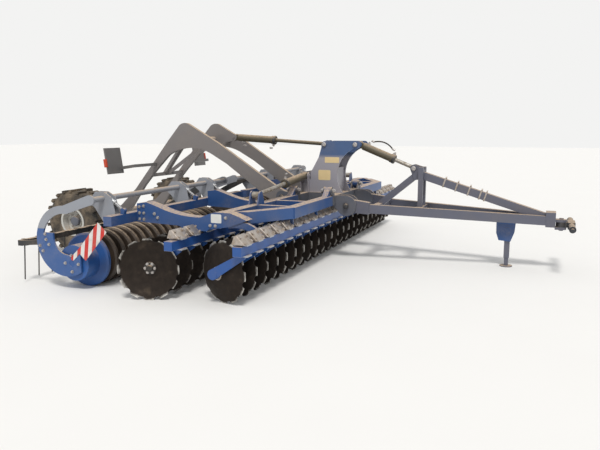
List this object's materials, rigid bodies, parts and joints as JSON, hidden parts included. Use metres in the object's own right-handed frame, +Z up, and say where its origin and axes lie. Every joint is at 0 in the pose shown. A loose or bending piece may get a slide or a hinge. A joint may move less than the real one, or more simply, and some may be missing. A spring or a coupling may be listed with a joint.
{
  "type": "disc harrow",
  "caption": "Folding trailed compact disc harrow with two rows of notched discs, ring rollers, levelling bar, lift wheels on arched arms and a truss drawbar.",
  "frame": {"origin": "centre of the bounding box on the floor", "axes": "+X forward towards the hitch, +Y to the left, +Z up"},
  "size_m": [6.7569, 6.157, 1.7729],
  "materials": {
    "blue_paint": "satin, dusty",
    "grey_paint": "satin, dusty",
    "dark_paint": "matt",
    "disc_steel": "worn, dusty",
    "dusty_cylinder": "matt, dusty",
    "bright_rod": "polished",
    "tyre": "matt, dusty",
    "rim_paint": "satin",
    "warning_stripes": "reflective stripes"
  },
  "bodies": {
    "frame": {"tower": "blue_paint", "main_frame": "grey_paint"},
    "drawbar": {"drawbar_beams_left": "grey_paint", "drawbar_beams_right": "grey_paint", "drawbar_truss": "grey_paint", "jack_bracket": "blue_paint"},
    "hitch": {"hitch_head": "dark_paint"},
    "jack": {"jack_leg": "grey_paint"},
    "drawbar_cylinder": {"drawbar_barrel": "dusty_cylinder"},
    "drawbar_piston": {"drawbar_rod": "bright_rod"},
    "chassis": {"arch_left": "grey_paint", "arch_right": "grey_paint", "arch_bracing": "grey_paint", "axle": "grey_paint", "light_boards": "dark_paint"},
    "wheel_left": {"rim_left": "rim_paint", "tyre_left": "tyre"},
    "wheel_right": {"rim_right": "rim_paint", "tyre_right": "tyre"},
    "axle_cylinder": {"axle_barrel": "dusty_cylinder"},
    "axle_piston": {"axle_rod": "dusty_cylinder"},
    "wing_left": {"wing_frame_left": "blue_paint", "wing_side_left": "blue_paint", "front_carrier_left": "blue_paint", "front_discs_left": "disc_steel", "rear_carrier_left": "blue_paint", "rear_discs_left": "disc_steel", "roller_tube_left": "blue_paint", "roller_arms_left": "blue_paint", "warning_board_left": "warning_stripes", "levelling_bar_left": "dark_paint"},
    "wing_cylinder_left": {"wing_barrel_left": "dusty_cylinder"},
    "wing_piston_left": {"wing_rod_left": "bright_rod"},
    "roller_left": {"roller_left": "blue_paint"},
    "wing_right": {"wing_frame_right": "blue_paint", "wing_side_right": "blue_paint", "front_carrier_right": "blue_paint", "front_discs_right": "disc_steel", "rear_carrier_right": "blue_paint", "rear_discs_right": "disc_steel", "roller_tube_right": "blue_paint", "roller_arms_right": "blue_paint", "warning_board_right": "warning_stripes", "levelling_bar_right": "dark_paint"},
    "wing_cylinder_right": {"wing_barrel_right": "dusty_cylinder"},
    "wing_piston_right": {"wing_rod_right": "bright_rod"},
    "roller_right": {"roller_right": "blue_paint"}
  },
  "joints": [
    {"name": "drawbar_lift", "type": "hinge", "parent": "frame", "child": "drawbar", "pos_m": [0.69349, -0.0325, 0.72], "axis": [0, 1, 0], "range_deg": [-4, 11]},
    {"name": "hitch_swivel", "type": "hinge", "parent": "drawbar", "child": "hitch", "pos_m": [3.22849, -0.0325, 0.56], "axis": [0, 0, 1], "range_deg": [-55, 55]},
    {"name": "jack_fold", "type": "hinge", "parent": "drawbar", "child": "jack", "pos_m": [2.62849, -0.0325, 0.48], "axis": [0, 1, 0], "range_deg": [0, 90]},
    {"name": "drawbar_cylinder_tilt", "type": "hinge", "parent": "frame", "child": "drawbar_cylinder", "pos_m": [0.71549, -0.0325, 1.487], "axis": [0, 1, 0], "range_deg": [-2.82, 7.39]},
    {"name": "drawbar_piston_slide", "type": "slide", "parent": "drawbar_cylinder", "child": "drawbar_piston", "axis": [0.9281, 0, -0.3723], "range_m": [-0.05144, 0.13795]},
    {"name": "chassis_lift", "type": "hinge", "parent": "frame", "child": "chassis", "pos_m": [-0.19651, -0.0325, 0.8], "axis": [0, -1, 0], "range_deg": [-8.5, 9.5]},
    {"name": "wheel_left_spin", "type": "hinge", "parent": "chassis", "child": "wheel_left", "pos_m": [-2.94249, 1.1675, 0.436], "axis": [0, 1, 0], "continuous": true},
    {"name": "wheel_right_spin", "type": "hinge", "parent": "chassis", "child": "wheel_right", "pos_m": [-2.94249, -1.2325, 0.436], "axis": [0, 1, 0], "continuous": true},
    {"name": "axle_cylinder_tilt", "type": "hinge", "parent": "chassis", "child": "axle_cylinder", "pos_m": [-1.1342, -0.0325, 1.5739], "axis": [0, -1, 0], "range_deg": [-3.15, 2.84]},
    {"name": "axle_piston_slide", "type": "slide", "parent": "axle_cylinder", "child": "axle_piston", "axis": [0.9981, 0, -0.061], "range_m": [-0.10756, 0.11998]},
    {"name": "wing_left_fold", "type": "hinge", "parent": "frame", "child": "wing_left", "pos_m": [0.45349, 0.5675, 0.915], "axis": [1, 0, 0], "range_deg": [0, 90]},
    {"name": "wing_cylinder_left_tilt", "type": "hinge", "parent": "frame", "child": "wing_cylinder_left", "pos_m": [0.02349, 0.1725, 1.07], "axis": [1, 0, 0], "range_deg": [-0.2, 73.94]},
    {"name": "wing_piston_left_slide", "type": "slide", "parent": "wing_cylinder_left", "child": "wing_piston_left", "axis": [0, 0.9968, -0.08], "range_m": [-0.49056, 0.002]},
    {"name": "roller_left_spin", "type": "hinge", "parent": "wing_left", "child": "roller_left", "pos_m": [-1.52151, 1.4675, 0.29], "axis": [0, 1, 0], "continuous": true},
    {"name": "wing_right_fold", "type": "hinge", "parent": "frame", "child": "wing_right", "pos_m": [0.45349, -0.6325, 0.915], "axis": [-1, 0, 0], "range_deg": [0, 90]},
    {"name": "wing_cylinder_right_tilt", "type": "hinge", "parent": "frame", "child": "wing_cylinder_right", "pos_m": [0.02349, -0.2375, 1.07], "axis": [-1, 0, 0], "range_deg": [-0.2, 73.94]},
    {"name": "wing_piston_right_slide", "type": "slide", "parent": "wing_cylinder_right", "child": "wing_piston_right", "axis": [0, -0.9968, -0.08], "range_m": [-0.49056, 0.002]},
    {"name": "roller_right_spin", "type": "hinge", "parent": "wing_right", "child": "roller_right", "pos_m": [-1.52151, -1.5325, 0.29], "axis": [0, 1, 0], "continuous": true}
  ],
  "couplings": [
    {"joint": "drawbar_cylinder_tilt", "follows": "drawbar_lift", "ratio": 0.6539},
    {"joint": "drawbar_piston_slide", "follows": "drawbar_lift", "m_per_rad": 0.70815},
    {"joint": "axle_cylinder_tilt", "follows": "chassis_lift", "ratio": -0.3104},
    {"joint": "axle_piston_slide", "follows": "chassis_lift", "m_per_rad": 0.71157},
    {"joint": "wing_cylinder_left_tilt", "follows": "wing_left_fold", "ratio": 0.81927},
    {"joint": "wing_piston_left_slide", "follows": "wing_left_fold", "m_per_rad": -0.31103},
    {"joint": "wing_cylinder_right_tilt", "follows": "wing_right_fold", "ratio": 0.81927},
    {"joint": "wing_piston_right_slide", "follows": "wing_right_fold", "m_per_rad": -0.31103}
  ]
}
